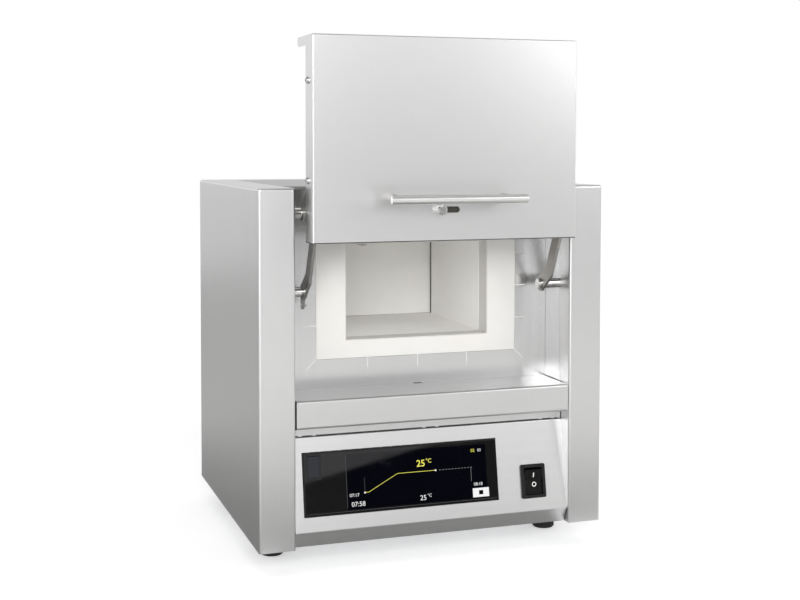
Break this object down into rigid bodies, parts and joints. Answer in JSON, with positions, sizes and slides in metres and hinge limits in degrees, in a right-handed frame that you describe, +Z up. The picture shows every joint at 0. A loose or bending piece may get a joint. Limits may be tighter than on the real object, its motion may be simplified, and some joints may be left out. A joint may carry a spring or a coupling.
{
  "type": "muffle furnace",
  "caption": "Bench muffle furnace with a raised parallel-lift door, ceramic chamber, leaning control panel with a dark touch display, mains rocker, bar handle and air slider.",
  "frame": {"origin": "under the middle of the outline, on the surface the feet stand on, with the door raised", "axes": "+Z up, -Y the front with the door and the control panel, +X to the right seen from the front"},
  "size_m": [0.385, 0.4174, 0.5522],
  "materials": {
    "stainless": "satin",
    "plain_steel": "satin",
    "polished_steel": "gloss",
    "rubber_black": "matte",
    "ceramic_white": "matte",
    "ceramic_chamber": "matte",
    "fibre_board": "matte",
    "black_glass": "gloss",
    "black_plastic": "satin",
    "grey_plastic": "satin"
  },
  "bodies": {
    "furnace": {"right_side_cover": "stainless", "left_side_cover": "stainless", "top_cover": "stainless", "rear_cover": "stainless", "base_tray": "plain_steel", "feet": "rubber_black", "right_hinge_plate": "plain_steel", "left_hinge_plate": "plain_steel", "front_plate": "stainless", "slit_seals": "fibre_board", "front_beam": "stainless", "control_panel": "stainless", "display_glass": "black_glass", "controller_housing": "black_plastic", "usb_socket": "polished_steel", "switch_housing": "black_plastic", "collar": "ceramic_white", "muffle_floor": "ceramic_chamber", "muffle_roof": "ceramic_chamber", "right_heating_plate": "ceramic_chamber", "left_heating_plate": "ceramic_chamber", "muffle_back": "ceramic_chamber", "insulation_floor": "fibre_board", "insulation_roof": "fibre_board", "insulation_left": "fibre_board", "insulation_right": "fibre_board", "insulation_back": "fibre_board", "inner_casing": "plain_steel", "flue_tube": "plain_steel", "thermocouple": "plain_steel", "relay": "black_plastic", "terminal_block": "black_plastic", "cable_gland": "black_plastic", "cover_screws": "polished_steel", "pivot_bolts": "polished_steel", "pivot_spacers": "polished_steel"},
    "lower_arms": {"right_lower_arm": "plain_steel", "left_lower_arm": "plain_steel", "tail_pin": "polished_steel"},
    "upper_arms": {"right_upper_arm": "plain_steel", "left_upper_arm": "plain_steel"},
    "door": {"door_panel": "stainless", "door_tray": "stainless", "door_rails": "plain_steel", "door_plug": "fibre_board", "right_door_bracket": "plain_steel", "left_door_bracket": "plain_steel", "flank_screws": "polished_steel", "handle_bar": "polished_steel", "handle_stems": "polished_steel", "slider_guide": "plain_steel"},
    "air_slider": {"air_slider": "plain_steel", "slider_knob": "polished_steel"},
    "rocker": {"rocker": "black_plastic"},
    "usb_flap": {"usb_flap": "grey_plastic"}
  },
  "joints": [
    {"name": "lower_arm_hinge", "type": "hinge", "parent": "furnace", "child": "lower_arms", "pos_m": [0, -0.10075, 0.288], "axis": [1, 0, 0], "range_deg": [0, 130]},
    {"name": "door_hinge", "type": "hinge", "parent": "lower_arms", "child": "door", "pos_m": [0, -0.15075, 0.361], "axis": [1, 0, 0], "range_deg": [-130, 0]},
    {"name": "upper_arm_hinge", "type": "hinge", "parent": "furnace", "child": "upper_arms", "pos_m": [0, -0.10075, 0.371], "axis": [1, 0, 0], "range_deg": [0, 130]},
    {"name": "air_slide", "type": "slide", "parent": "door", "child": "air_slider", "axis": [1, 0, 0], "range_m": [0, 0.019]},
    {"name": "rocker_tip", "type": "hinge", "parent": "furnace", "child": "rocker", "pos_m": [0, -0.12687, 0.0737], "axis": [1, 0, 0], "range_deg": [-20, 0]},
    {"name": "usb_flap_hinge", "type": "hinge", "parent": "furnace", "child": "usb_flap", "pos_m": [0, -0.12089, 0.11752], "axis": [1, 0, 0], "range_deg": [-100, 0]}
  ],
  "couplings": [
    {"joint": "door_hinge", "follows": "lower_arm_hinge", "ratio": -1},
    {"joint": "upper_arm_hinge", "follows": "lower_arm_hinge", "ratio": 1}
  ]
}
